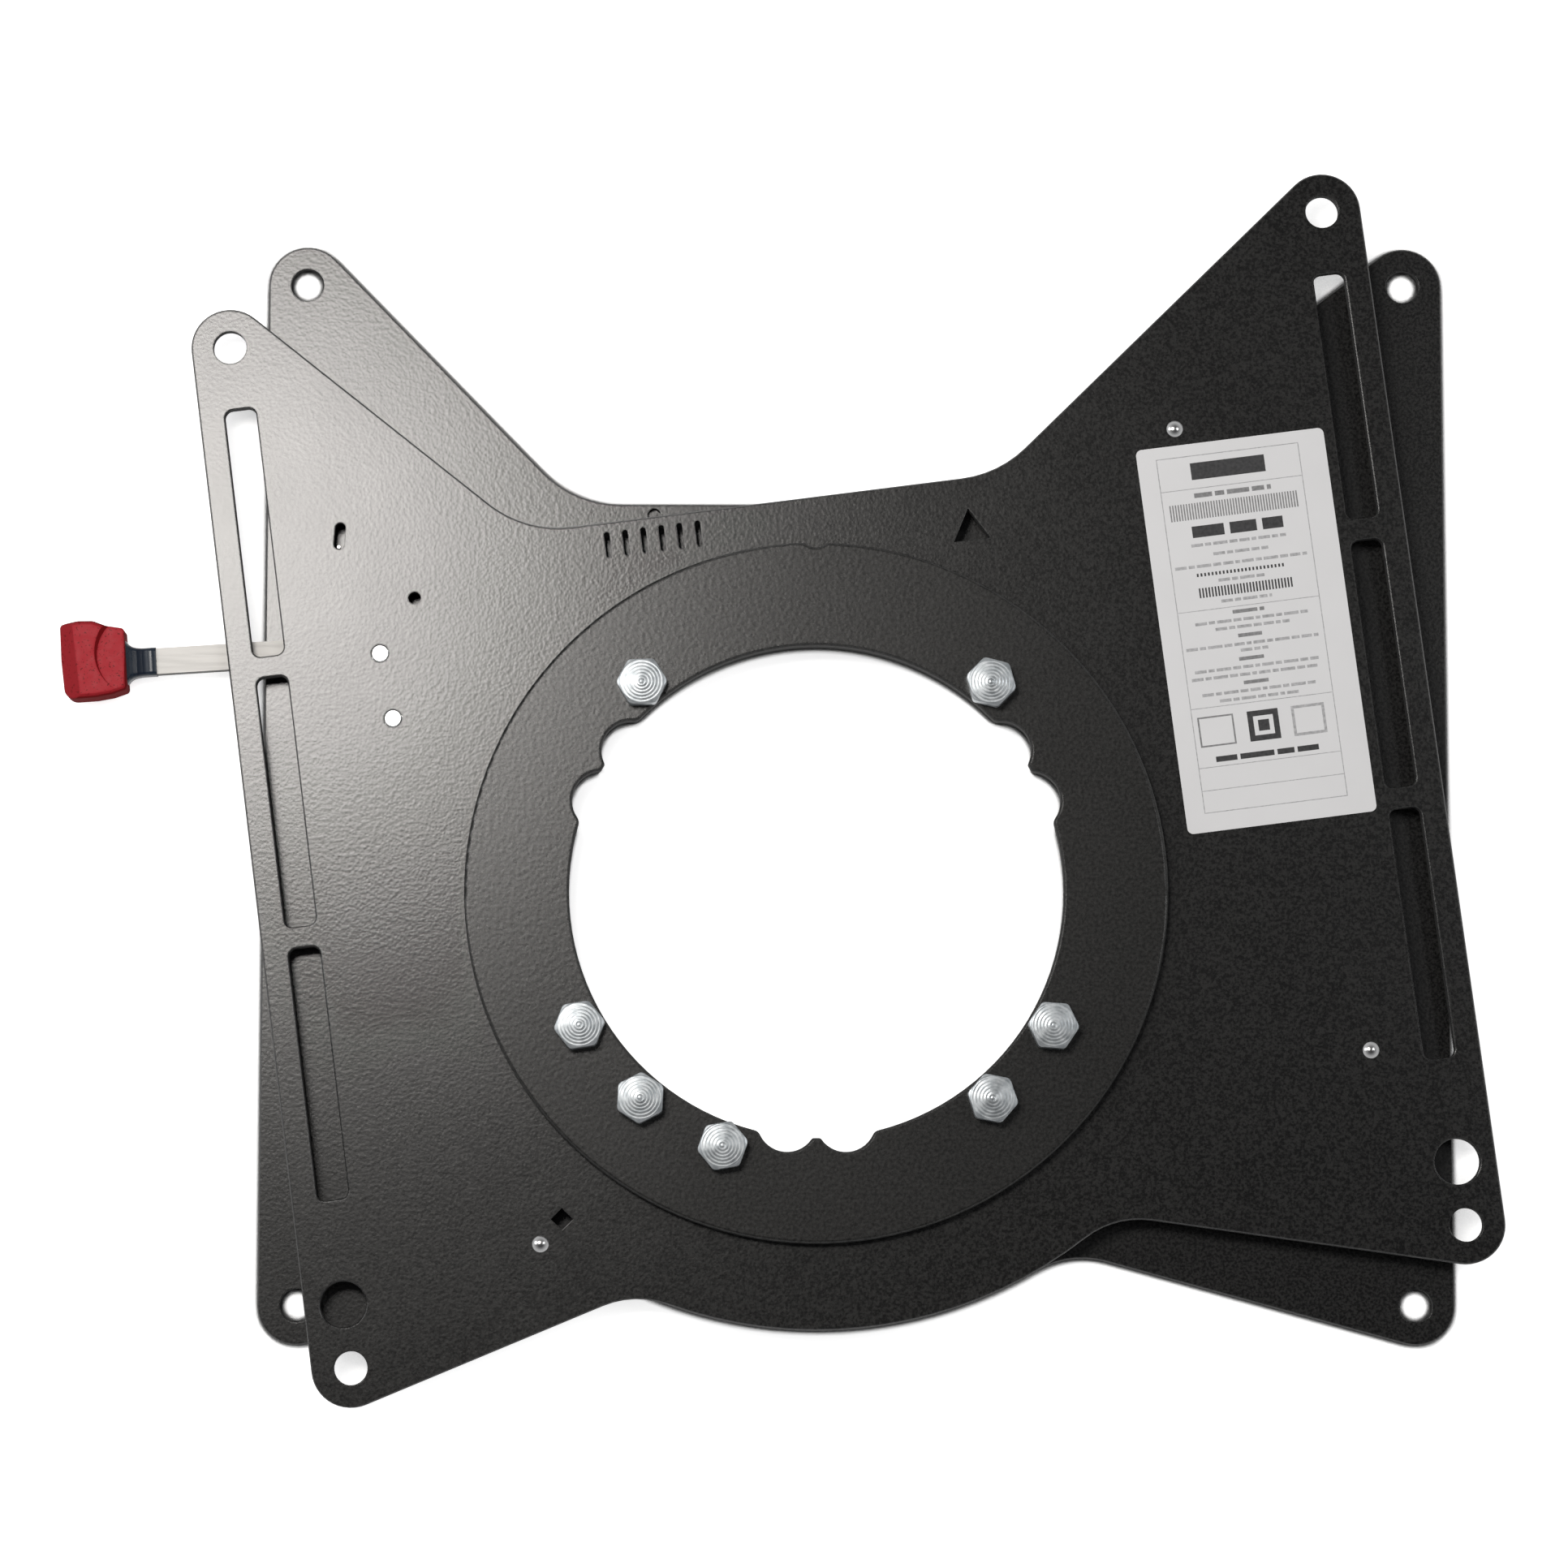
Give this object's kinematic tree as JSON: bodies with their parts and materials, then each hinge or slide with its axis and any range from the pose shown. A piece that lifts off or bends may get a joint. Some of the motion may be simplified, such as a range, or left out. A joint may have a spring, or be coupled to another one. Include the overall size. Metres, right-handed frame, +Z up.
{
  "type": "swivel seat base",
  "caption": "Flat swivel base for a van seat: a lower plate with corner ears, an upper plate turning on a clamped ring round a scalloped opening, and a sprung locking lever.",
  "frame": {"origin": "on the swivel axis at the underside of the lower plate, which stands on the seat box", "axes": "+Z up along the swivel axis; +X and +Y along the sides of the lower plate's bolt rectangle, +Y towards its straight waist edge and -Y towards its round lobe; the lever leaves towards -X"},
  "size_m": [0.5181, 0.447, 0.0267],
  "materials": {
    "plate_black": "black powder coat, fine orange peel, half gloss",
    "ring_black": "black powder coat, smoother, half gloss",
    "slide_plastic": "dark bearing plastic",
    "bolt_zinc": "bright zinc plate",
    "pad_plastic": "black nylon",
    "rivet_bright": "bright steel",
    "spring_steel": "zinc-plated spring wire",
    "label_white": "white self-adhesive label, satin",
    "lever_zinc": "zinc-plated steel bar",
    "sleeve_black": "black moulded collar, shiny",
    "knob_red": "red moulded plastic"
  },
  "bodies": {
    "base": {"lower_plate": "plate_black", "index_ring": "plate_black", "hub_ring": "plate_black", "lower_slide_ring": "slide_plastic", "upper_slide_ring": "slide_plastic", "clamp_ring": "ring_black", "ring_bolt_1": "bolt_zinc", "ring_bolt_2": "bolt_zinc", "ring_bolt_3": "bolt_zinc", "ring_bolt_4": "bolt_zinc", "ring_bolt_5": "bolt_zinc", "ring_bolt_6": "bolt_zinc", "ring_bolt_7": "bolt_zinc"},
    "turntable": {"upper_plate": "plate_black", "glide_pad_1": "pad_plastic", "glide_pad_2": "pad_plastic", "glide_pad_3": "pad_plastic", "pad_rivet_1": "rivet_bright", "pad_rivet_2": "rivet_bright", "pad_rivet_3": "rivet_bright", "lever_pivot": "rivet_bright", "pivot_washer": "bolt_zinc", "lever_stop": "rivet_bright", "lever_spring": "spring_steel", "label": "label_white"},
    "lever": {"lever_bar": "lever_zinc", "lever_sleeve": "sleeve_black", "lever_knob": "knob_red"}
  },
  "joints": [
    {"name": "swivel", "type": "hinge", "parent": "base", "child": "turntable", "pos_m": [0, 0, 0], "axis": [0, 0, 1], "continuous": true},
    {"name": "lever_pull", "type": "hinge", "parent": "turntable", "child": "lever", "pos_m": [-0.15706, 0.08606, 0.0075], "axis": [0, 0, 1], "range_deg": [0, 6], "stiffness_Nm_per_rad": 2, "springref_deg": -14.32, "deforming": ["lever_spring"]}
  ]
}
